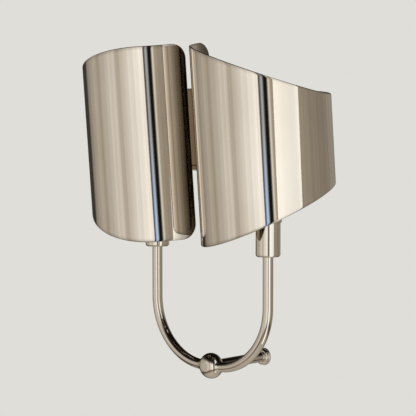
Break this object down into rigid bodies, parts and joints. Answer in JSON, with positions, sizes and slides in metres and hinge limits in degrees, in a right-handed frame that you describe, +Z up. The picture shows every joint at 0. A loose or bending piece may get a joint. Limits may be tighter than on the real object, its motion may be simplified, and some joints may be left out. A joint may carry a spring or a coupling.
{
  "type": "wall sconce candle holder",
  "caption": "Double-arm wall sconce for candles: a rod and ball knuckle carry a U-shaped fork of bent tubes, with a cup on each leg inside a curled, tapered metal shade that turns.",
  "frame": {"origin": "on the rod's axis, in the plane where the sconce meets the wall", "axes": "+X along the wall to the right as seen from the room, +Y into the wall, +Z up"},
  "size_m": [0.264, 0.1497, 0.3105],
  "materials": {
    "polished_nickel": "polished nickel plate on brass, warm",
    "polished_nickel_sheet": "polished nickel plate on hand-curled brass sheet",
    "satin_nickel": "satin nickel plate, unpolished inside pieces",
    "tinned_liner": "bright spun metal",
    "brass": "turned brass",
    "steel": "plain steel",
    "red_fibre": "vulcanised fibre"
  },
  "bodies": {
    "wall_bracket": {"standoff_rod": "polished_nickel", "wall_rosette": "polished_nickel"},
    "fork": {"ball_knuckle": "polished_nickel", "swivel_washer": "red_fibre", "tilt_grub_screw": "steel", "arm_tube_left": "polished_nickel", "arm_tube_right": "polished_nickel", "cup_stud_left": "steel", "cup_stud_right": "steel", "candle_cup_left": "polished_nickel", "candle_cup_right": "polished_nickel", "cup_washer_left": "steel", "cup_washer_right": "steel", "cup_nut_left": "brass", "cup_nut_right": "brass"},
    "shade_assembly_left": {"shade_left": "polished_nickel_sheet", "shade_collar_left": "satin_nickel", "shade_straps_left": "satin_nickel", "collar_screw_left": "brass"},
    "liner_left": {"candle_liner_left": "tinned_liner"},
    "shade_assembly_right": {"shade_right": "polished_nickel_sheet", "shade_collar_right": "satin_nickel", "shade_straps_right": "satin_nickel", "collar_screw_right": "brass"},
    "liner_right": {"candle_liner_right": "tinned_liner"}
  },
  "joints": [
    {"name": "fork_tilt", "type": "hinge", "parent": "wall_bracket", "child": "fork", "pos_m": [0, -0.075, 0], "axis": [0, 1, 0], "range_deg": [-20, 20]},
    {"name": "shade_turn_left", "type": "hinge", "parent": "fork", "child": "shade_assembly_left", "pos_m": [-0.07, -0.075, 0.1465], "axis": [0, 0, 1], "range_deg": [-30, 30]},
    {"name": "liner_lift_left", "type": "slide", "parent": "fork", "child": "liner_left", "axis": [0, 0, 1], "range_m": [0, 0.04]},
    {"name": "shade_turn_right", "type": "hinge", "parent": "fork", "child": "shade_assembly_right", "pos_m": [0.07, -0.075, 0.1465], "axis": [0, 0, 1], "range_deg": [-30, 30]},
    {"name": "liner_lift_right", "type": "slide", "parent": "fork", "child": "liner_right", "axis": [0, 0, 1], "range_m": [0, 0.04]}
  ]
}
